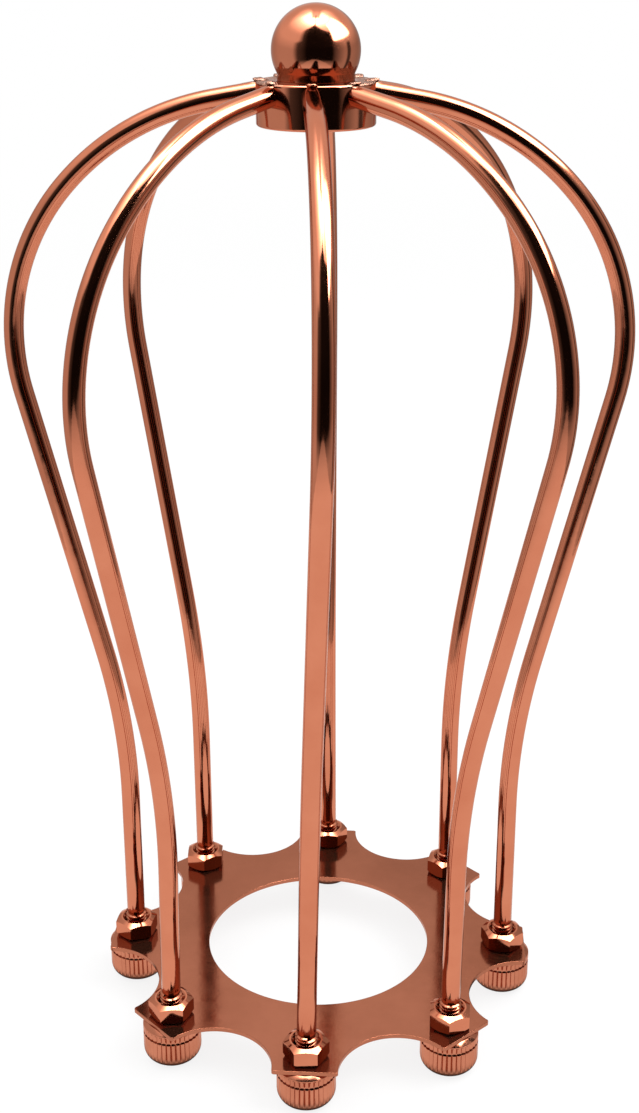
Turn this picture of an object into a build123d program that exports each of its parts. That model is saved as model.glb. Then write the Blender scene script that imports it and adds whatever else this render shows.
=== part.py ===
from build123d import *
from math import cos, radians, sin, sqrt, tan
import os

# Wire cage lampshade: eight bent steel ribs stand on a notched base plate that a lampholder
# passes through, and meet at a round hub with a ball on top. Each rib ends below in a thread,
# which a hex nut above the plate and a knurled cap nut below it clamp to the plate.
# The origin is the centre of the lampholder hole, on the top face of the plate, and +Z is up.
# Rib 1 stands at the front, on -Y, and the numbers run towards -X.

# Base plate
plate_thickness = 0.8
lamp_hole_diameter = 42.0
stud_circle_diameter = 70.6
tab_reach = 4.3  # of a tab's straight outer edge beyond the middle of its stud
tab_width = 11.5
ring_width = 10.9  # of the plate between the lampholder hole and the deepest point of a notch
tab_corner_radius = 0.5

# Ribs: a straight foot, a wide bend outwards, a straight slope, a belly and a crown
rod_diameter = 3.4
foot_height = 30.0
foot_bend_radius = 125.0
slope_angle = 13.9  # from the vertical
slope_length = 49.0
belly_radius = 38.8
belly_end_angle = 42.0  # from the vertical, leaning inwards
crown_radius = 44.8
crown_end_angle = 80.0  # from the vertical, leaning inwards
# The ribs are bent and welded by hand: each is turned a little about the line from its foot
# to its top end, anticlockwise seen from above.
rib_turns = (6.6, 7.8, -3.5, 1.2, 1.2, 0.4, 6.8, 5.5)

# Threads, nuts and cap nuts
thread_diameter = 3.9
thread_runout = 0.3
thread_above_nut = 1.2
thread_clearance = 0.2  # all round a thread, in a nut, a hole or a cap nut
thread_end_gap = 0.6
nut_across_flats = 7.0
nut_height = 3.6
nut_face_diameter = 5.8
nut_chamfer_angle = 30.0
nut_mouth = 0.45
nut_angles = (3.0, 9.0, 22.0, 33.0, 3.0, 18.0, -11.0, 28.0)  # as each nut came to rest
cap_diameter = 10.4
cap_height = 7.9
cap_bore_depth = 6.2
cap_top_chamfer = 0.7
cap_foot_radius = 2.4
cap_groove_depth = 0.3
cap_groove_width = 0.4
cap_groove_drop = 2.2  # from the top face to the middle of the groove
knurl_count = 36
knurl_width = 0.45
knurl_depth = 0.2

# Hub, ball finial and the screw between them
hub_diameter = 19.2
hub_height = 7.0
hub_edge_radius = 0.4
hub_rise = 0.2  # of the hub's top face above the ribs
ball_diameter = 14.2
ball_foot_diameter = 12.4
ball_foot_height = 1.1
ball_bore_depth = 6.0
screw_diameter = 3.9
screw_clearance = 0.15
screw_length = 12.0
screw_head_diameter = 7.4
screw_head_edge = 0.3
screw_head_angle = 90.0
screw_head_depth = 0.2  # of the head's face below the hub's underside
slot_width = 1.0
slot_depth = 0.9

rib_count = len(rib_turns)
rib_pitch = 360 / rib_count
rib_angles = [-90 - rib_pitch * number for number in range(rib_count)]
foot_radius = stud_circle_diameter / 2
tab_edge_distance = foot_radius + tab_reach
waist_radius = lamp_hole_diameter / 2 + ring_width
rod_radius = rod_diameter / 2
hub_radius = hub_diameter / 2
thread_bore_radius = thread_diameter / 2 + thread_clearance
cap_top = -plate_thickness
thread_end = cap_top - cap_bore_depth + thread_end_gap
thread_top = nut_height + thread_above_nut

os.makedirs("parts", exist_ok=True)


def turned(x, y, angle):
    """The point (x, y) of a tab that lies along +X, turned about the axis to another tab."""
    return Vector(x, y).rotate(Axis.Z, angle)


def stud_plane(angle, height, spin):
    """A level plane centred on the stud at the given angle, with its own x turned by spin."""
    foot = turned(foot_radius, 0, angle)
    return Plane(origin=(foot.X, foot.Y, height), x_dir=turned(1, 0, spin), z_dir=(0, 0, 1))


def finish(builder, name):
    """Name a finished piece and write it."""
    builder.part.label = name
    export_step(builder.part, f"parts/{name}.step")


# Base plate: straight-edged tabs with a round notch between each two
with BuildPart() as base_plate:
    with BuildSketch() as outline:
        with BuildLine():
            for angle in rib_angles:
                near_corner = turned(tab_edge_distance, tab_width / 2, angle)
                far_corner = turned(tab_edge_distance, -tab_width / 2, angle)
                next_corner = turned(tab_edge_distance, tab_width / 2, angle - rib_pitch)
                waist = turned(waist_radius, 0, angle - rib_pitch / 2)
                Line(near_corner, far_corner)
                ThreePointArc(far_corner, waist, next_corner)
        make_face()
        fillet(outline.vertices(), tab_corner_radius)
        Circle(lamp_hole_diameter / 2, mode=Mode.SUBTRACT)
        with PolarLocations(foot_radius, rib_count, start_angle=rib_angles[0]):
            Circle(thread_bore_radius, mode=Mode.SUBTRACT)
    extrude(amount=-plate_thickness)
finish(base_plate, "base_plate")


# Centre line of a rib: x runs outwards from the foot, y upwards from the plate's top face
with BuildLine() as rib_line:
    foot_run = Line((0, nut_height), (0, foot_height))
    foot_bend = JernArc(foot_run @ 1, foot_run % 1, foot_bend_radius, -slope_angle)
    slope = Line(foot_bend @ 1, foot_bend @ 1 + (foot_bend % 1) * slope_length)
    belly = JernArc(slope @ 1, slope % 1, belly_radius, slope_angle + belly_end_angle)
    crown = JernArc(belly @ 1, belly % 1, crown_radius, crown_end_angle - belly_end_angle)
    to_hub = ((crown @ 1).X + foot_radius - hub_radius) / sin(radians(crown_end_angle))
    top_run = Line(crown @ 1, crown @ 1 + (crown % 1) * to_hub)
    inside_hub = Line(top_run @ 1, top_run @ 1 + (top_run % 1) * rod_radius)
rib_top = top_run @ 1
hub_top = rib_top.Y + rod_radius + hub_rise
hub_bottom = hub_top - hub_height

# Rib blank, standing on its own centre line, with the thread at the foot
with BuildPart() as rib_blank:
    with BuildSketch(Plane(origin=rib_line.line @ 0, z_dir=rib_line.line % 0)):
        Circle(rod_radius)
    sweep(path=rib_line.line)
    with BuildSketch():
        with BuildLine():
            Polyline(
                (0, thread_end),
                (thread_diameter / 2 - thread_runout, thread_end),
                (thread_diameter / 2, thread_end + thread_runout),
                (thread_diameter / 2, thread_top),
                (rod_radius, thread_top + thread_runout),
                (0, thread_top + thread_runout),
                close=True,
            )
        make_face()
    revolve(axis=Axis.Y)


def rib_plane(angle, turn):
    """The plane of one rib: x outwards, y upwards, turned about the line from foot to top."""
    outwards = turned(1, 0, angle)
    upwards = Vector(0, 0, 1)
    chord = Axis((0, 0, 0), outwards * rib_top.X + upwards * rib_top.Y)
    return Plane(
        origin=outwards * foot_radius,
        x_dir=outwards.rotate(chord, turn),
        z_dir=outwards.cross(upwards).rotate(chord, turn),
    )


# Ribs, each coped to the round side of the hub
for number, (angle, turn) in enumerate(zip(rib_angles, rib_turns), start=1):
    with BuildPart() as rib:
        with Locations(rib_plane(angle, turn)):
            add(rib_blank.part)
        with BuildSketch(Plane.XY.offset(hub_bottom)):
            Circle(hub_radius)
        extrude(amount=hub_height + rod_radius, mode=Mode.SUBTRACT)
    finish(rib, f"rib_{number}")


# Hex nut blank on the axis: both faces chamfered and both mouths countersunk
nut_corner_radius = nut_across_flats / 2 / cos(radians(30))
nut_chamfer_height = (nut_corner_radius - nut_face_diameter / 2) * tan(radians(nut_chamfer_angle))
with BuildPart() as nut_blank:
    with BuildSketch():
        RegularPolygon(nut_across_flats / 2, 6, major_radius=False)
    extrude(amount=nut_height)
    with BuildSketch(Plane.XZ):
        Polygon(
            (0, 0),
            (nut_face_diameter / 2, 0),
            (nut_corner_radius, nut_chamfer_height),
            (nut_corner_radius, nut_height - nut_chamfer_height),
            (nut_face_diameter / 2, nut_height),
            (0, nut_height),
            align=None,
        )
    revolve(axis=Axis.Z, mode=Mode.INTERSECT)
    with Locations((0, 0, nut_height)):
        Hole(thread_bore_radius)
    mouths = nut_blank.edges().filter_by(lambda edge: edge.geom_type == GeomType.CIRCLE)
    chamfer(mouths.group_by(SortBy.RADIUS)[0], nut_mouth)

# Cap nut blank hanging from the axis: a straight knurl, a groove, a rounded foot, a blind bore
cap_radius = cap_diameter / 2
with BuildPart() as cap_blank:
    with BuildSketch(Plane.XZ):
        with BuildLine():
            side = Polyline(
                (0, 0),
                (cap_radius - cap_top_chamfer, 0),
                (cap_radius, -cap_top_chamfer),
                (cap_radius, cap_foot_radius - cap_height),
            )
            rounded_foot = JernArc(side @ 1, side % 1, cap_foot_radius, -90)
            Line(rounded_foot @ 1, (0, -cap_height))
            Line((0, -cap_height), (0, 0))
        make_face()
    revolve(axis=Axis.Z)
    with BuildSketch():
        with PolarLocations(cap_radius, knurl_count):
            Polygon(
                (-knurl_depth, 0),
                (knurl_depth, -knurl_width),
                (knurl_depth, knurl_width),
                align=None,
            )
    extrude(amount=cap_foot_radius - cap_height, mode=Mode.SUBTRACT)
    with BuildSketch(Plane.XZ):
        with Locations((cap_radius, -cap_groove_drop)):
            Rectangle(2 * cap_groove_depth, cap_groove_width)
    revolve(axis=Axis.Z, mode=Mode.SUBTRACT)
    Hole(thread_bore_radius, depth=cap_bore_depth)

# Hex nuts on the plate and cap nuts under it, a pair on each stud
for number, (angle, nut_angle) in enumerate(zip(rib_angles, nut_angles), start=1):
    with BuildPart() as hex_nut:
        with Locations(stud_plane(angle, 0, nut_angle)):
            add(nut_blank.part)
    finish(hex_nut, f"hex_nut_{number}")
    with BuildPart() as cap_nut:
        with Locations(stud_plane(angle, cap_top, angle)):
            add(cap_blank.part)
    finish(cap_nut, f"cap_nut_{number}")


# Hub: a turned disc with a countersunk hole for the ball's screw
screw_bore_radius = screw_diameter / 2 + screw_clearance
head_radius = screw_head_diameter / 2
head_side = screw_head_depth + screw_head_edge
head_seat_radius = head_radius + head_side * tan(radians(screw_head_angle / 2))
with BuildPart() as hub:
    with BuildSketch(Plane.XY.offset(hub_bottom)):
        Circle(hub_radius)
    extrude(amount=hub_height)
    fillet(hub.edges().filter_by(GeomType.CIRCLE), hub_edge_radius)
    with Locations(Plane(origin=(0, 0, hub_bottom), z_dir=(0, 0, -1))):
        CounterSinkHole(screw_bore_radius, head_seat_radius, hub_height, screw_head_angle)
finish(hub, "hub")

# Ball finial: a ball on a short round foot that stands on the hub, drilled and tapped from below
ball_radius = ball_diameter / 2
ball_foot_radius = ball_foot_diameter / 2
ball_foot_top = hub_top + ball_foot_height
ball_centre = ball_foot_top + sqrt(ball_radius**2 - ball_foot_radius**2)
with BuildPart() as ball_finial:
    with BuildSketch(Plane.XZ):
        with BuildLine():
            Polyline((0, hub_top), (ball_foot_radius, hub_top), (ball_foot_radius, ball_foot_top))
            ball_top = (0, ball_centre + ball_radius)
            ThreePointArc((ball_foot_radius, ball_foot_top), (ball_radius, ball_centre), ball_top)
            Line(ball_top, (0, hub_top))
        make_face()
    revolve(axis=Axis.Z)
    with Locations(Plane(origin=(0, 0, hub_top), z_dir=(0, 0, -1))):
        Hole(screw_bore_radius, depth=ball_bore_depth)
finish(ball_finial, "ball_finial")

# Slotted countersunk screw, up through the hub into the ball
screw_face = hub_bottom + screw_head_depth
head_cone = (head_radius - screw_diameter / 2) / tan(radians(screw_head_angle / 2))
with BuildPart() as finial_screw:
    with BuildSketch(Plane.XZ):
        with BuildLine():
            Polyline(
                (0, screw_face),
                (head_radius, screw_face),
                (head_radius, screw_face + screw_head_edge),
                (screw_diameter / 2, screw_face + screw_head_edge + head_cone),
                (screw_diameter / 2, screw_face + screw_length - thread_runout),
                (screw_diameter / 2 - thread_runout, screw_face + screw_length),
                (0, screw_face + screw_length),
                close=True,
            )
        make_face()
    revolve(axis=Axis.Z)
    with BuildSketch(Plane.XY.offset(screw_face)):
        Rectangle(screw_head_diameter, slot_width)
    extrude(amount=slot_depth, mode=Mode.SUBTRACT)
finish(finial_screw, "finial_screw")
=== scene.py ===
from math import atan2, cos, degrees, hypot, pi, radians, sin, tan

import bmesh
import bpy
from mathutils import Matrix, Vector


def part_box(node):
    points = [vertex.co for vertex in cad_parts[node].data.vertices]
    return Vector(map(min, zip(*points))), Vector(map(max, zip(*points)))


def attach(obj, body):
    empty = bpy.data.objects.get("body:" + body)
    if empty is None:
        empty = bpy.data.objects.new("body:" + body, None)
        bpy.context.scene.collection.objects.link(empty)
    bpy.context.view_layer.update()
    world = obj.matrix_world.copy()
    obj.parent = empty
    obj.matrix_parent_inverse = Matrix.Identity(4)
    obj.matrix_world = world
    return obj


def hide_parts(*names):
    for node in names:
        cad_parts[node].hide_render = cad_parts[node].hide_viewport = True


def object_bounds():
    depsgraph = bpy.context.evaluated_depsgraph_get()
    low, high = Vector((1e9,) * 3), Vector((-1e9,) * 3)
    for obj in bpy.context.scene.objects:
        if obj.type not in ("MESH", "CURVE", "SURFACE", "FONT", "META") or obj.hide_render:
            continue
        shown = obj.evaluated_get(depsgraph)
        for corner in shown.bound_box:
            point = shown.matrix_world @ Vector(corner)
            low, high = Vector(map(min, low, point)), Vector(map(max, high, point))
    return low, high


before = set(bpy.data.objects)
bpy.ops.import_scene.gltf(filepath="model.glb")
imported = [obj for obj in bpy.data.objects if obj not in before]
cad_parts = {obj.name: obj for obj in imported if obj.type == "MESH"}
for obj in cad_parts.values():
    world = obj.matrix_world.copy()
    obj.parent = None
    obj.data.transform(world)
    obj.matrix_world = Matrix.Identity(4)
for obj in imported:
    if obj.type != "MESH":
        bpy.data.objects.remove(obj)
cad_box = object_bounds()

# Wire cage lampshade in polished copper plate. Pieces are shaped in millimetres, about the
# frame's own origin, and brought to metres when they are put in their places.
MM = 0.001


def cad_size(node):
    """The lowest and highest corners of a CAD node, in millimetres."""
    lowest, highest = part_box(node)
    return Vector(lowest) / MM, Vector(highest) / MM


# Base plate
plate_low, plate_high = cad_size("base_plate")
plate_thickness = plate_high.z - plate_low.z
lamp_hole_radius = 21.0
stud_circle_radius = 35.3
tab_edge_distance = stud_circle_radius + 4.3
tab_half_width = 5.75
waist_radius = lamp_hole_radius + 10.9
tab_corner_radius = 0.5
plate_edge_round = 0.12

# Ribs: a straight foot, a wide bend outwards, a straight slope, a belly and a crown
rod_radius = 1.7
foot_height = 30.0
foot_bend_radius = 125.0
slope_lean = radians(13.9)
slope_length = 49.0
belly_radius = 38.8
belly_end_lean = radians(-42.0)
crown_radius = 44.8
crown_end_lean = radians(-80.0)
rib_turns = (6.6, 7.8, -3.5, 1.2, 1.2, 0.4, 6.8, 5.5)
rib_count = len(rib_turns)
rib_pitch = 2 * pi / rib_count
rib_angles = [-pi / 2 - rib_pitch * number for number in range(rib_count)]

# Threads, nuts and cap nuts
thread_root = 1.58
thread_crest = 1.95
thread_pitch = 0.7
thread_runout = 0.3
bead_half_sizes = (1.5, 1.1, 0.42)  # along the rib, across it and upwards
bead_inset = 1.3
nut_across_flats = 7.0
nut_height = 3.6
nut_face_radius = 2.9
nut_chamfer = radians(30)
nut_bore = 2.0
nut_mouth = 0.6
nut_edge_round = 0.07
nut_angles = (3, 9, 22, 33, 3, 18, -11, 28)
thread_top = nut_height + 1.2
cap_radius = 5.2
cap_height = 7.9
cap_bore = 2.15
cap_bore_depth = 6.2
cap_bore_chamfer = 0.4
cap_top_chamfer = 0.7
cap_top_round = 0.04
cap_groove_round = 0.06
cap_foot_radius = 2.4
cap_groove_depth = 0.3
cap_groove_width = 0.4
cap_groove_drop = 2.2
knurl_count = 36
knurl_depth = 0.2
cap_top = plate_low.z
thread_end = cap_top - cap_bore_depth + 0.6

# Hub, ball and screw
hub_low, hub_high = cad_size("hub")
ball_low, ball_high = cad_size("ball_finial")
screw_low, screw_high = cad_size("finial_screw")
hub_radius = 9.6
hub_edge_radius = 0.45
ball_radius = 7.1
ball_foot_radius = 6.2
ball_foot_height = 1.1
ball_bore_depth = 6.0
ball_edge_round = 0.08
screw_radius = 1.95
screw_bore = 2.1
screw_edge_round = 0.06
head_radius = 3.7
head_edge = 0.3
slot_width = 1.0
slot_depth = 0.9


def pick(piece):
    """Select one piece alone and make it active."""
    bpy.ops.object.select_all(action="DESELECT")
    piece.select_set(True)
    bpy.context.view_layer.objects.active = piece


def open_mesh(piece, selected=True):
    """Go into edit mode on one piece, with all or nothing of it selected."""
    pick(piece)
    bpy.ops.object.mode_set(mode="EDIT")
    bpy.ops.mesh.select_mode(type="VERT")
    bpy.ops.mesh.select_all(action="SELECT" if selected else "DESELECT")


def close_mesh(recalculate=True):
    """Leave edit mode, with the faces turned outwards."""
    if recalculate:
        bpy.ops.mesh.select_all(action="SELECT")
        bpy.ops.mesh.normals_make_consistent(inside=False)
    bpy.ops.object.mode_set(mode="OBJECT")


def choose(piece, kind, wanted):
    """In edit mode, select only the vertices, edges or faces for which wanted is true."""
    bpy.ops.mesh.select_mode(type={"verts": "VERT", "edges": "EDGE", "faces": "FACE"}[kind])
    bpy.ops.mesh.select_all(action="DESELECT")
    mesh = bmesh.from_edit_mesh(piece.data)
    for element in getattr(mesh, kind):
        if wanted(element):
            element.select_set(True)
    bmesh.update_edit_mesh(piece.data)


def new_piece(name):
    """Name the primitive that was just added, and bring its place into its mesh."""
    piece = bpy.context.object
    piece.name = name
    bpy.ops.object.transform_apply(location=True, rotation=True, scale=True)
    return piece


def push(way):
    """Extrude what is selected along a vector."""
    bpy.ops.mesh.extrude_region_move(TRANSFORM_OT_translate={"value": way})


def swell(factor, centre):
    """Resize what is selected about a point, alike in every direction."""
    bpy.ops.transform.resize(value=(factor, factor, factor), center_override=centre)


def lathe(name, profile, columns):
    """Turn a closed piece: a disc, extruded and resized from each (radius, height) to the next."""
    radius, height = profile[0]
    bpy.ops.mesh.primitive_circle_add(
        vertices=columns, radius=radius, fill_type="NGON", location=(0, 0, height)
    )
    piece = new_piece(name)
    open_mesh(piece)
    for next_radius, next_height in profile[1:]:
        push((0, 0, next_height - height))
        factor = next_radius / radius
        bpy.ops.transform.resize(value=(factor, factor, 1), center_override=(0, 0, next_height))
        radius, height = next_radius, next_height
    close_mesh()
    return piece


def quarter(centre_radius, centre_height, radius, start, end, steps):
    """Points (radius, height) of a rounded edge, from the angle start to the angle end."""
    points = []
    for step in range(steps + 1):
        angle = radians(start + (end - start) * step / steps)
        points.append((centre_radius + radius * cos(angle), centre_height + radius * sin(angle)))
    return points


def apply_modifiers(piece):
    pick(piece)
    for modifier in list(piece.modifiers):
        bpy.ops.object.modifier_apply(modifier=modifier.name)


def combine(piece, tool, operation):
    """Cut a piece with a tool, or keep what the two share, and clear the tool away."""
    cut = piece.modifiers.new("cut", "BOOLEAN")
    cut.operation = operation
    cut.solver = "EXACT"
    cut.object = tool
    apply_modifiers(piece)
    bpy.data.objects.remove(tool, do_unlink=True)


def soften(piece, width, angle=30):
    """Round every sharp edge a little, and shade the piece smooth between its sharp edges."""
    pick(piece)
    bpy.ops.object.shade_smooth_by_angle(angle=radians(angle))
    bevel = piece.modifiers.new("soft edges", "BEVEL")
    bevel.width = width
    bevel.segments = 2
    bevel.limit_method = "ANGLE"
    bevel.angle_limit = radians(angle)
    bevel.harden_normals = True
    bevel.use_clamp_overlap = True
    apply_modifiers(piece)


def copies(piece, names):
    """Copies of a piece, each with its own mesh; the piece itself takes the first name."""
    made = [piece]
    for name in names[1:]:
        pick(piece)
        bpy.ops.object.duplicate(linked=False)
        made.append(bpy.context.object)
        made[-1].name = name
    piece.name = names[0]
    return made


def around(piece, count, start=0):
    """Join copies of a piece that are turned evenly about the axis."""
    ring = copies(piece, [f"{piece.name}_{number}" for number in range(count)])
    for number, copy in enumerate(ring):
        copy.matrix_world = Matrix.Rotation(start + 2 * pi * number / count, 4, "Z")
    bpy.ops.object.select_all(action="DESELECT")
    for copy in ring:
        copy.select_set(True)
    bpy.context.view_layer.objects.active = ring[0]
    bpy.ops.object.transform_apply(location=True, rotation=True, scale=True)
    bpy.ops.object.join()
    return bpy.context.object


def finish(piece, place, node, material):
    """Bring a piece to metres in its place, give it its finish, and let it stand for its node."""
    piece.matrix_world = Matrix.Scale(MM, 4) @ place
    pick(piece)
    bpy.ops.object.transform_apply(location=True, rotation=True, scale=True)
    piece.data.materials.clear()
    piece.data.materials.append(material)
    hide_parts(node)
    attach(piece, "root")


grazing_tint = (0.75, 0.66, 0.62, 1)  # what the plating throws back at a grazing angle


class Value:
    """A socket of a material: sums written with it become Math nodes."""

    def __init__(self, recipe, socket):
        self.recipe = recipe
        self.socket = socket

    def math(self, operation, first, second):
        return self.recipe.math(operation, first, second)

    def __add__(self, other):
        return self.math("ADD", self, other)

    def __radd__(self, other):
        return self.math("ADD", other, self)

    def __sub__(self, other):
        return self.math("SUBTRACT", self, other)

    def __rsub__(self, other):
        return self.math("SUBTRACT", other, self)

    def __mul__(self, other):
        return self.math("MULTIPLY", self, other)

    def __rmul__(self, other):
        return self.math("MULTIPLY", other, self)

    def __truediv__(self, other):
        return self.math("DIVIDE", self, other)

    def __rtruediv__(self, other):
        return self.math("DIVIDE", other, self)


class Recipe:
    """A material being written: every node goes in through one method."""

    def __init__(self, name):
        self.material = bpy.data.materials.new(name)
        self.material.use_nodes = True
        self.tree = self.material.node_tree
        self.tree.nodes.clear()

    def node(self, kind, settings=None, inputs=None, output=0):
        made = self.tree.nodes.new(kind)
        for name, setting in (settings or {}).items():
            setattr(made, name, setting)
        for name, value in (inputs or {}).items():
            if isinstance(value, Value):
                self.tree.links.new(value.socket, made.inputs[name])
            else:
                made.inputs[name].default_value = value
        return Value(self, made.outputs[output])

    def math(self, operation, *inputs):
        return self.node("ShaderNodeMath", {"operation": operation}, dict(enumerate(inputs)))

    def place(self):
        """Where a point of the surface lies, in metres."""
        return self.node("ShaderNodeTexCoord", output="Object")

    def noise(self, scale, detail=3.0, roughness=0.5, stretch=(1, 1, 1)):
        stretched = self.node("ShaderNodeMapping", {}, {"Vector": self.place(), "Scale": stretch})
        inputs = {"Vector": stretched, "Scale": scale, "Detail": detail, "Roughness": roughness}
        return self.node("ShaderNodeTexNoise", {}, inputs)

    def between(self, value, low, high):
        """A value from 0 to 1 as it runs from low to high, held at both ends."""
        inputs = {"Value": value, "From Min": low, "From Max": high}
        return self.node("ShaderNodeMapRange", {"clamp": True}, inputs)

    def window(self, value, start, full, fade, end):
        """A value that rises to 1 from start to full, and falls back to 0 from fade to end."""
        return self.between(value, start, full) * (1 - self.between(value, fade, end))

    def parts(self):
        """Where a point lies across, deep and up, and how far it is from the axis."""
        split = self.node("ShaderNodeSeparateXYZ", {}, {0: self.place()})
        outputs = split.socket.node.outputs
        across, depth, height = (Value(self, outputs[axis]) for axis in "XYZ")
        reach = self.math("SQRT", across * across + depth * depth)
        return across, depth, height, reach

    def mix(self, factor, first, second):
        settings = {"data_type": "RGBA"}
        return self.node("ShaderNodeMix", settings, {0: factor, 6: first, 7: second}, output=2)

    def bump(self, height, strength, distance):
        inputs = {"Height": height, "Strength": strength, "Distance": distance}
        return self.node("ShaderNodeBump", {}, inputs)

    def surface(self, shader):
        self.node_output = self.tree.nodes.new("ShaderNodeOutputMaterial")
        self.tree.links.new(shader.socket, self.node_output.inputs["Surface"])
        return self.material

    def metal(self, colour, roughness, normal, metallic=1.0):
        inputs = {
            "Base Color": colour,
            "Metallic": metallic,
            "Roughness": roughness,
            "Specular Tint": grazing_tint,
            "Normal": normal,
        }
        return self.surface(self.node("ShaderNodeBsdfPrincipled", {}, inputs))


def weld_share(recipe):
    """How much of a place is weld: the hub's top rim and the rib ends there, at left and right."""
    across, depth, height, reach = recipe.parts()
    edge = reach + 0.002 * recipe.noise(500, 3, 0.6)
    weld = recipe.window(edge, 0.0074, 0.0082, 0.0108, 0.0118)
    weld = weld * recipe.window(height - hub_high.z * MM, -0.0005, -0.0003, 0.0008, 0.001)
    return weld * recipe.between(recipe.math("ABSOLUTE", across), 0.0045, 0.006)


def polished_copper():
    """Bright copper plate on drawn rod, faintly wavy, with the rough grey weld round the hub."""
    recipe = Recipe("polished copper plate")
    clouds = recipe.between(recipe.noise(90, 4, 0.6), 0.35, 0.7)
    haze = recipe.between(recipe.noise(260, 5, 0.65), 0.45, 0.75)
    weld = weld_share(recipe)
    colour = recipe.mix(clouds, (0.514, 0.176, 0.098, 1), (0.472, 0.150, 0.081, 1))
    colour = recipe.mix(weld, colour, (0.33, 0.17, 0.12, 1))
    roughness = 0.07 + 0.05 * haze + 0.03 * clouds + 0.18 * weld
    waves = recipe.noise(180, 2, 0.4) + 0.06 * recipe.noise(1400, 2, 0.5)
    height = 0.5 * weld * recipe.noise(1300, 4, 0.65) + 0.09 * waves
    return recipe.metal(colour, roughness, recipe.bump(height, 0.9, 0.0006))


def turned_copper():
    """The same plate on turned and knurled pieces, a little duller and darker in cloudy patches.
    """
    recipe = Recipe("copper plate on knurled caps")
    clouds = recipe.between(recipe.noise(150, 4, 0.6), 0.35, 0.7)
    colour = recipe.mix(clouds, (0.473, 0.169, 0.098, 1), (0.390, 0.128, 0.071, 1))
    roughness = 0.13 + 0.08 * clouds
    grain = recipe.noise(900, 3, 0.6, (1, 1, 0.2))
    return recipe.metal(colour, roughness, recipe.bump(grain, 0.15, 0.0002))


def sheet_copper():
    """Plated sheet: browner and hazier than the rods, with wipe marks."""
    recipe = Recipe("copper plated sheet")
    smudges = recipe.between(recipe.noise(45, 5, 0.65), 0.38, 0.68)
    wipes = recipe.between(recipe.noise(60, 4, 0.6, (1, 5, 1)), 0.4, 0.7)
    colour = recipe.mix(smudges, (0.362, 0.123, 0.069, 1), (0.308, 0.102, 0.055, 1))
    roughness = 0.09 + 0.06 * smudges + 0.04 * wipes
    grain = recipe.noise(240, 3, 0.5) + 0.2 * recipe.noise(1500, 2, 0.5)
    return recipe.metal(colour, roughness, recipe.bump(grain, 0.05, 0.0003), 0.95)


def screw_copper():
    """Plating on the slotted screw, rubbed by the driver."""
    recipe = Recipe("copper plate on the screw")
    rubs = recipe.between(recipe.noise(700, 4, 0.6, (1, 6, 1)), 0.4, 0.7)
    colour = recipe.mix(rubs, (0.465, 0.180, 0.112, 1), (0.525, 0.270, 0.188, 1))
    return recipe.metal(colour, 0.18 + 0.12 * rubs, recipe.bump(rubs, 0.1, 0.0002))


def heading(lean):
    """The way a rib runs where it leans outwards from the vertical by an angle."""
    return Vector((sin(lean), 0, cos(lean)))


def outward(lean):
    """The way a rib's outer side faces there."""
    return Vector((cos(lean), 0, -sin(lean)))


def bend(point, lean, end_lean, radius, steps):
    """Spin the rod's end round a bend, outwards or inwards, and return where it comes to."""
    side = 1 if end_lean > lean else -1
    centre = point + side * radius * outward(lean)
    bpy.ops.mesh.spin(steps=steps, angle=lean - end_lean, center=centre, axis=(0, 1, 0))
    return centre - side * radius * outward(end_lean)


def run(point, lean, length):
    """Extrude the rod's end straight on, and return where it comes to."""
    push(length * heading(lean))
    return point + length * heading(lean)


def bent_rod():
    """A rib on its own centre line, with its foot on the axis and its belly towards +X."""
    bpy.ops.mesh.primitive_circle_add(
        vertices=32,
        radius=thread_root - thread_runout,
        fill_type="NGON",
        location=(0, 0, thread_end),
    )
    rod = new_piece("bent_rod")
    open_mesh(rod)
    point = run(Vector((0, 0, thread_end)), 0, thread_runout)
    swell(thread_root / (thread_root - thread_runout), point)
    point = run(point, 0, thread_top - point.z)
    point = run(point, 0, thread_runout)
    swell(rod_radius / thread_root, point)
    point = run(point, 0, foot_height - point.z)
    point = bend(point, 0, slope_lean, foot_bend_radius, 12)
    point = run(point, slope_lean, slope_length)
    point = bend(point, slope_lean, belly_end_lean, belly_radius, 30)
    point = bend(point, belly_end_lean, crown_end_lean, crown_radius, 24)
    to_hub = (point.x + stud_circle_radius - hub_radius) / -sin(crown_end_lean)
    point = run(point, crown_end_lean, to_hub)
    top = point.copy()
    run(point, crown_end_lean, rod_radius)
    close_mesh()
    pick(rod)
    bpy.ops.object.shade_smooth_by_angle(angle=radians(35))
    return rod, top


def thread_ridge():
    """The thread's ridge, wound up the rod's foot from a four-sided profile."""
    depth = thread_crest - thread_root + 0.12
    ridge_start = thread_end + thread_runout + thread_pitch / 2
    bpy.ops.mesh.primitive_plane_add(
        size=1,
        location=(thread_crest - depth / 2, 0, ridge_start),
        rotation=(pi / 2, 0, 0),
    )
    ridge = bpy.context.object
    ridge.scale = (depth, 0.86 * thread_pitch, 1)
    ridge = new_piece("thread_ridge")
    open_mesh(ridge)
    choose(ridge, "verts", lambda vertex: vertex.co.x > thread_crest - depth / 2)
    bpy.ops.transform.resize(value=(1, 1, 0.22))
    close_mesh(recalculate=False)
    wind = ridge.modifiers.new("wind", "SCREW")
    wind.axis = "Z"
    wind.angle = 2 * pi
    wind.screw_offset = thread_pitch
    wind.iterations = int((thread_top - ridge_start) / thread_pitch)
    wind.steps = 32
    wind.render_steps = 32
    apply_modifiers(ridge)
    open_mesh(ridge, selected=False)
    bpy.ops.mesh.select_mode(type="EDGE")
    bpy.ops.mesh.select_non_manifold()
    bpy.ops.mesh.fill_holes(sides=4)
    close_mesh()
    pick(ridge)
    bpy.ops.object.shade_smooth_by_angle(angle=radians(30))
    return ridge


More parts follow.
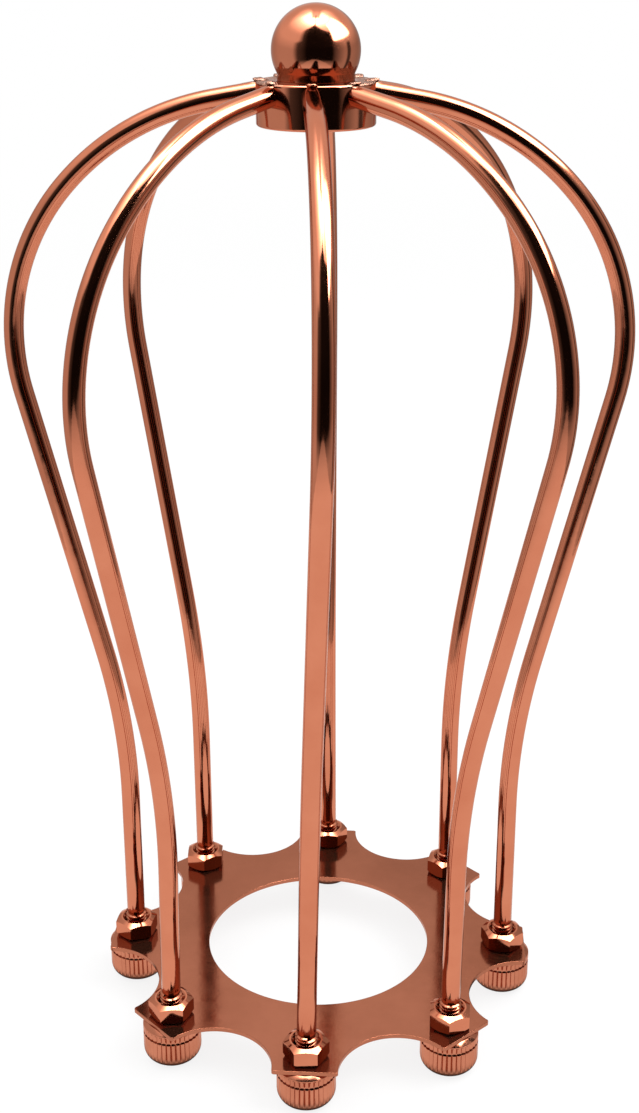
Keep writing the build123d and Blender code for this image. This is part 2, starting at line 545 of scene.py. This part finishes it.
def weld_bead(top, seed):
    """A small uneven bead on a rib's top end, where it is welded to the hub's rim."""
    centre = top + (rod_radius - 0.1) * outward(crown_end_lean)
    centre += bead_inset * heading(crown_end_lean)
    bpy.ops.mesh.primitive_ico_sphere_add(subdivisions=4, radius=1, location=centre)
    bead = bpy.context.object
    bead.rotation_euler = (0, -crown_end_lean - pi / 2, 0)
    bead.scale = bead_half_sizes
    bead = new_piece("weld_bead")
    open_mesh(bead)
    bpy.ops.transform.vertex_random(offset=0.16, uniform=0.3, normal=0.5, seed=seed)
    bpy.ops.mesh.vertices_smooth(factor=0.5, repeat=3)
    close_mesh()
    pick(bead)
    bpy.ops.object.shade_smooth_by_angle(angle=radians(60))
    return bead


def make_ribs(material):
    rod, top = bent_rod()
    ridge = thread_ridge()
    pick(rod)
    ridge.select_set(True)
    bpy.ops.object.join()
    names = [f"polished_rib_{number + 1}" for number in range(rib_count)]
    for number, rib in enumerate(copies(rod, names)):
        bead = weld_bead(top, number)
        pick(rib)
        bead.select_set(True)
        bpy.ops.object.join()
        place = (
            Matrix.Rotation(rib_angles[number], 4, "Z")
            @ Matrix.Translation((stud_circle_radius, 0, 0))
            @ Matrix.Rotation(radians(rib_turns[number]), 4, top)
        )
        finish(rib, place, f"rib_{number + 1}", material)


def hex_nut():
    """A hex nut standing on the plate, chamfered above and below and countersunk."""
    corner = nut_across_flats / 2 / cos(pi / 6)
    bpy.ops.mesh.primitive_cylinder_add(
        vertices=6,
        radius=corner,
        depth=3 * nut_height,
        location=(0, 0, nut_height / 2),
        rotation=(0, 0, pi / 6),
    )
    nut = new_piece("hex_nut")
    reach = corner + 0.3
    chamfer = (reach - nut_face_radius) * tan(nut_chamfer)
    cones = [
        (nut_face_radius, 0),
        (reach, chamfer),
        (reach, nut_height - chamfer),
        (nut_face_radius, nut_height),
    ]
    combine(nut, lathe("nut_cones", cones, 96), "INTERSECT")
    beyond = 0.4
    bore = [
        (nut_bore + nut_mouth + beyond, -beyond),
        (nut_bore, nut_mouth),
        (nut_bore, nut_height - nut_mouth),
        (nut_bore + nut_mouth + beyond, nut_height + beyond),
    ]
    combine(nut, lathe("nut_bore", bore, 64), "DIFFERENCE")
    soften(nut, nut_edge_round)
    return nut


def cap_nut():
    """A knurled cap nut that hangs from its top face, with a groove and a rounded foot."""
    foot_centre = cap_foot_radius - cap_height
    groove_top = cap_groove_width / 2 - cap_groove_drop
    groove_bottom = groove_top - cap_groove_width
    groove_floor = cap_radius - cap_groove_depth
    profile = [
        (cap_bore, -cap_bore_depth),
        (cap_bore, -cap_bore_chamfer),
        (cap_bore + cap_bore_chamfer, 0),
        (cap_radius - cap_top_chamfer - 0.1, 0),
        (cap_radius - cap_top_chamfer, -cap_top_round),
        (cap_radius - cap_top_round, cap_top_round - cap_top_chamfer),
        (cap_radius, -cap_top_chamfer - 0.1),
        (cap_radius, -cap_top_chamfer - 0.3),
        (cap_radius, groove_top + cap_groove_round),
        (cap_radius - cap_groove_round, groove_top),
        (groove_floor, groove_top),
        (groove_floor, groove_bottom),
        (cap_radius - cap_groove_round, groove_bottom),
        (cap_radius, groove_bottom - cap_groove_round),
        (cap_radius, foot_centre + 0.3),
    ]
    profile += quarter(cap_radius - cap_foot_radius, foot_centre, cap_foot_radius, 0, -90, 10)
    profile += [(cap_radius - cap_foot_radius - 1.4, -cap_height)]
    cap = lathe("cap_nut", profile, 4 * knurl_count)
    open_mesh(cap, selected=False)

    def in_knurl(vertex):
        radius = hypot(vertex.co.x, vertex.co.y)
        turn = degrees(atan2(vertex.co.y, vertex.co.x)) / (360 / knurl_count)
        on_column = abs(turn - round(turn)) < 0.1
        return on_column and radius > cap_radius - 0.07 and vertex.co.z < -cap_top_chamfer - 0.2

    choose(cap, "verts", in_knurl)
    factor = 1 - knurl_depth / cap_radius
    bpy.ops.transform.resize(value=(factor, factor, 1), center_override=(0, 0, 0))
    close_mesh()
    pick(cap)
    bpy.ops.object.shade_smooth_by_angle(angle=radians(28))
    return cap


def make_nuts(polished, knurled):
    nut_names = [f"plated_nut_{number + 1}" for number in range(rib_count)]
    cap_names = [f"plated_cap_{number + 1}" for number in range(rib_count)]
    nuts = copies(hex_nut(), nut_names)
    caps = copies(cap_nut(), cap_names)
    for number, angle in enumerate(rib_angles):
        stud = Matrix.Rotation(angle, 4, "Z") @ Matrix.Translation((stud_circle_radius, 0, 0))
        nut_turn = Matrix.Rotation(radians(nut_angles[number]) - angle, 4, "Z")
        cap_place = stud @ Matrix.Translation((0, 0, cap_top))
        finish(nuts[number], stud @ nut_turn, f"hex_nut_{number + 1}", polished)
        finish(caps[number], cap_place, f"cap_nut_{number + 1}", knurled)


def make_plate(material):
    """An eight-sided sheet with a round notch between each two tabs, and all its holes."""
    middle = -plate_thickness / 2
    bpy.ops.mesh.primitive_cylinder_add(
        vertices=8,
        radius=tab_edge_distance / cos(pi / 8),
        depth=plate_thickness,
        location=(0, 0, middle),
        rotation=(0, 0, pi / 8),
    )
    plate = new_piece("notched_plate")
    corner = Vector((tab_edge_distance, tab_half_width))
    way = Vector((cos(pi / 8), sin(pi / 8)))
    gap = corner - waist_radius * way
    notch_radius = gap.length_squared / (2 * gap.dot(way))
    bpy.ops.mesh.primitive_cylinder_add(
        vertices=96,
        radius=notch_radius,
        depth=4 * plate_thickness,
        location=(*((waist_radius + notch_radius) * way), middle),
    )
    combine(plate, around(new_piece("notch"), rib_count), "DIFFERENCE")
    bpy.ops.mesh.primitive_cylinder_add(
        vertices=192, radius=lamp_hole_radius, depth=4 * plate_thickness, location=(0, 0, middle)
    )
    combine(plate, new_piece("lamp_hole"), "DIFFERENCE")
    bpy.ops.mesh.primitive_cylinder_add(
        vertices=48,
        radius=cap_bore,
        depth=4 * plate_thickness,
        location=(stud_circle_radius, 0, middle),
    )
    combine(plate, around(new_piece("stud_hole"), rib_count), "DIFFERENCE")
    open_mesh(plate, selected=False)

    def tab_corner(edge):
        first, second = (vertex.co for vertex in edge.verts)
        upright = (first - second).xy.length < 0.01
        return upright and abs(hypot(first.x, first.y) - corner.length) < 0.05

    choose(plate, "edges", tab_corner)
    bpy.ops.mesh.bevel(offset=tab_corner_radius, segments=5, affect="EDGES")
    close_mesh()
    soften(plate, plate_edge_round)
    finish(plate, Matrix(), "base_plate", material)


def make_hub(material):
    """A turned disc with rounded edges and a countersunk hole for the screw."""
    inner = hub_radius - hub_edge_radius
    profile = [(1.0, hub_low.z)]
    profile += quarter(inner, hub_low.z + hub_edge_radius, hub_edge_radius, -90, 0, 6)
    profile += quarter(inner, hub_high.z - hub_edge_radius, hub_edge_radius, 0, 90, 6)
    profile += [(1.0, hub_high.z)]
    hub = lathe("turned_hub", profile, 128)
    seat = head_radius + head_edge + 0.2
    beyond = 0.5
    hole = [
        (seat + beyond, hub_low.z - beyond),
        (screw_bore, hub_low.z + seat - screw_bore),
        (screw_bore, hub_high.z + beyond),
    ]
    combine(hub, lathe("screw_hole", hole, 64), "DIFFERENCE")
    pick(hub)
    bpy.ops.object.shade_smooth_by_angle(angle=radians(30))
    finish(hub, Matrix(), "hub", material)


def make_ball(material):
    """A ball on a short round foot that stands on the hub, drilled from below."""
    bpy.ops.mesh.primitive_uv_sphere_add(
        segments=128, ring_count=96, radius=ball_radius, location=(0, 0, ball_high.z - ball_radius)
    )
    ball = new_piece("polished_ball")
    foot_top = ball_low.z + ball_foot_height
    open_mesh(ball)
    bpy.ops.mesh.bisect(
        plane_co=(0, 0, foot_top), plane_no=(0, 0, 1), use_fill=True, clear_inner=True
    )
    push((0, 0, -ball_foot_height))
    bpy.ops.mesh.inset(thickness=ball_foot_radius - screw_bore)
    push((0, 0, ball_bore_depth))
    close_mesh()
    soften(ball, ball_edge_round, angle=40)
    finish(ball, Matrix(), "ball_finial", material)


def make_screw(material):
    """A slotted countersunk screw that holds the ball from under the hub."""
    face = screw_low.z
    cone = head_radius - screw_radius
    profile = [
        (head_radius - 0.15, face),
        (head_radius, face + 0.12),
        (head_radius, face + head_edge),
        (screw_radius, face + head_edge + cone),
        (screw_radius, screw_high.z - thread_runout),
        (screw_radius - thread_runout, screw_high.z),
    ]
    screw = lathe("slotted_screw", profile, 64)
    bpy.ops.mesh.primitive_cube_add(size=1, location=(0, 0, face))
    slot = bpy.context.object
    slot.scale = (3 * head_radius, slot_width, 2 * slot_depth)
    combine(screw, new_piece("slot"), "DIFFERENCE")
    soften(screw, screw_edge_round)
    finish(screw, Matrix(), "finial_screw", material)


# Studio, in metres: a white floor and surround, two soft lamps, and round them a room of soft
# boxes and a dark card that only the metal mirrors
floor_height = cad_box[0][2]
camera_distance = 0.26779
camera_height = 0.18517
camera_turn = radians(3.50)
camera_pitch = radians(21.25)
camera_roll = radians(-0.15)
picture_width = 639
picture_height = 1113
focal_pixels = 1637.1
centre_column = 317.21
centre_row = 546.34
shell_half_width = 0.2
shell_half_depth = 0.5
shell_top = 1.15
side_wall = 0.66
ball_height = 0.165
painted_foot_shadow = (0.0048, 0.0082)  # the painted contact shadows round the cap nuts' feet, in the floor the metal mirrors, end between these radii
floor_fade = (0.18, 0.55)  # the floor darkens behind the camera between these distances
mirror_gain = 1.33  # what the metal mirrors is this much brighter than what the camera sees


def make_camera():
    camera = bpy.data.objects.new("camera", bpy.data.cameras.new("camera"))
    bpy.context.collection.objects.link(camera)
    camera.matrix_world = (
        Matrix.Rotation(camera_turn, 4, "Z")
        @ Matrix.Translation((0, -camera_distance, camera_height))
        @ Matrix.Rotation(pi / 2 - camera_pitch, 4, "X")
        @ Matrix.Rotation(camera_roll, 4, "Z")
    )
    camera.data.sensor_fit = "VERTICAL"
    camera.data.sensor_height = 36
    camera.data.lens = focal_pixels / picture_height * camera.data.sensor_height
    camera.data.shift_x = (picture_width / 2 - centre_column) / picture_height
    camera.data.shift_y = (centre_row - picture_height / 2) / picture_height
    camera.data.clip_start = 0.01
    bpy.context.scene.camera = camera


def turn_of(recipe, across, depth):
    """The turn of a point of the studio in degrees, from the camera's side towards +X."""
    return recipe.math("ARCTAN2", across, 0 - depth) * (180 / pi)


def card_share(recipe, turn, sharpness=0):
    """How much the dark card behind the camera hides at a turn, from 0 to 1."""
    drawn_in = turn - 13 * sharpness
    left = 0.88 * recipe.between(drawn_in, -58, -45) + 0.12 * recipe.between(turn, -45, -20)
    return left * (1 - recipe.between(turn, 46 + 3 * sharpness, 82 - 29 * sharpness))


def make_floor():
    """A white floor; the metal mirrors it with a painted contact shadow round each cap nut's foot,
    and dark behind the camera.
    """
    recipe = Recipe("white floor")
    across, depth, _, reach = recipe.parts()
    turn = turn_of(recipe, across, depth)
    far = card_share(recipe, turn) * recipe.between(reach, *floor_fade)
    half_pitch = degrees(rib_pitch) / 2
    off_stud = recipe.math("WRAP", turn, half_pitch, -half_pitch) * (pi / 180)
    beside = reach * recipe.math("SINE", off_stud)
    beyond = reach * recipe.math("COSINE", off_stud) - stud_circle_radius * MM
    off_foot = recipe.math("SQRT", beside * beside + beyond * beyond)
    # painted contact shadow: the floor that the metal mirrors is dark close to each cap nut's foot
    lit = recipe.between(off_foot, *painted_foot_shadow) * (1 - 0.94 * far)
    to_camera, to_gloss, through_glass = (
        recipe.node("ShaderNodeLightPath", output=f"Is {kind} Ray")
        for kind in ("Camera", "Glossy", "Transmission")
    )
    strength = 1 + to_gloss * (mirror_gain * (0.1 + 0.9 * lit) - 1)
    matt = recipe.node("ShaderNodeBsdfDiffuse", {}, {"Color": (0.8, 0.8, 0.8, 1)})
    white = recipe.node("ShaderNodeEmission", {}, {"Color": (1, 1, 1, 1), "Strength": strength})
    glow = 0.85 + 0.15 * recipe.between(reach, 0.35, 1)
    share = recipe.between(glow * to_camera + to_gloss + through_glass, 0, 1)
    shader = recipe.node("ShaderNodeMixShader", {}, {0: share, 1: matt, 2: white})
    bpy.ops.mesh.primitive_circle_add(
        vertices=64, radius=4, fill_type="NGON", location=(0, 0, floor_height)
    )
    floor = bpy.context.object
    floor.name = "studio_floor"
    floor.data.materials.append(recipe.surface(shader))


def make_surround():
    world = bpy.data.worlds.new("white surround")
    bpy.context.scene.world = world
    world.use_nodes = True
    background = world.node_tree.nodes["Background"]
    background.inputs["Color"].default_value = (1, 1, 1, 1)
    background.inputs["Strength"].default_value = 1.0


def make_shell():
    """A round room that only the metal mirrors: soft boxes, and a dark card behind the camera.

    Its light is laid out as seen from the ball: turn runs from the camera's side towards +X and
    rise upwards, both in degrees.
    """
    recipe = Recipe("studio walls")
    across, depth, height, reach = recipe.parts()
    turn = turn_of(recipe, across, depth)
    rise = recipe.math("ARCTAN2", height - ball_height, reach) * (180 / pi)

    # two soft boxes overhead, with a dim strip between them behind the zenith
    behind = recipe.between(recipe.math("ABSOLUTE", turn), 105, 135)
    glow = recipe.between(rise - 10 * behind, 33, 72)
    overhead = 6 * glow * glow + 8 * recipe.between(rise - 6 * behind, 62, 80)
    strip = 1 - recipe.between(recipe.math("ABSOLUTE", across), 0.1, 0.17)
    overhead = overhead * (1 - 0.9 * strip * recipe.between(depth, -0.12, 0))

    # pale walls, duller low on the right and behind
    on_right = recipe.between(turn, 20, 60) * (1 - recipe.between(rise, 12, 24))
    wall = side_wall + 0.36 * recipe.between(rise, 4, 22) - 0.1 * behind - 0.17 * on_right
    wall = wall + overhead

    # a bright box on the right, over a narrow dark flag
    box = recipe.window(turn, 50, 54, 108, 118) * recipe.window(rise, 21, 25, 62, 70)
    wall = recipe.math("MAXIMUM", wall, 11 * box)
    flag = recipe.window(turn, 88, 92, 100, 104) * (1 - recipe.between(rise, 12, 16))
    wall = wall * (1 - 0.85 * flag)

    # the dark card, pointed at its top, and the seam above it
    peak = rise + 0.5 * recipe.math("ABSOLUTE", turn + 1)
    card = card_share(recipe, turn, recipe.between(rise, 16, 24))
    card = card * (1 - recipe.between(peak, 67, 70)) * recipe.between(rise, -33, -21)
    wall = wall * (1 - 0.99 * card)
    seam = 1 - recipe.between(recipe.math("ABSOLUTE", across - 0.004), 0.009, 0.02)
    seam = seam * recipe.between(rise, 40, 44) * (1 - recipe.between(depth, 0.05, 0.15))
    wall = wall * (1 - 0.9 * seam)

    # metal mirrored in metal sees the boxes dimmed, so that no crease between pieces glares
    again = recipe.between(recipe.node("ShaderNodeLightPath", output="Ray Depth"), 1, 2)
    wall = recipe.math("MINIMUM", wall, 40 - 38.9 * again)

    shader = recipe.node("ShaderNodeEmission", {}, {"Strength": mirror_gain * wall})
    bpy.ops.mesh.primitive_cylinder_add(
        vertices=96, radius=1, depth=2 * (shell_top - floor_height), location=(0, 0, floor_height)
    )
    bpy.context.object.scale = (shell_half_width, shell_half_depth, 1)
    shell = new_piece("studio_walls")
    shell.data.materials.append(recipe.surface(shader))
    shell.visible_camera = False
    shell.visible_diffuse = False
    shell.visible_shadow = False


def soft_lamp(name, place, width, radiance):
    """A square lamp that lights the floor and what is matt, and isn't mirrored itself."""
    light = bpy.data.lights.new(name, "AREA")
    light.shape = "SQUARE"
    light.size = width
    light.energy = radiance * pi * width * width
    lamp = bpy.data.objects.new(name, light)
    bpy.context.collection.objects.link(lamp)
    place = Vector(place)
    lamp.location = place
    lamp.rotation_euler = (Vector((0, 0, 0.08)) - place).to_track_quat("-Z", "Y").to_euler()
    lamp.visible_camera = False
    lamp.visible_glossy = False


polished = polished_copper()
make_ribs(polished)
make_nuts(polished, turned_copper())
make_plate(sheet_copper())
make_hub(polished)
make_ball(polished)
make_screw(screw_copper())

make_camera()
make_surround()
make_floor()
make_shell()
soft_lamp("key lamp", (0.30, 0.02, 0.58), 0.42, 6)
soft_lamp("fill lamp", (-0.26, 0.02, 0.62), 0.42, 1.6)

bpy.context.scene.view_settings.view_transform = "Standard"
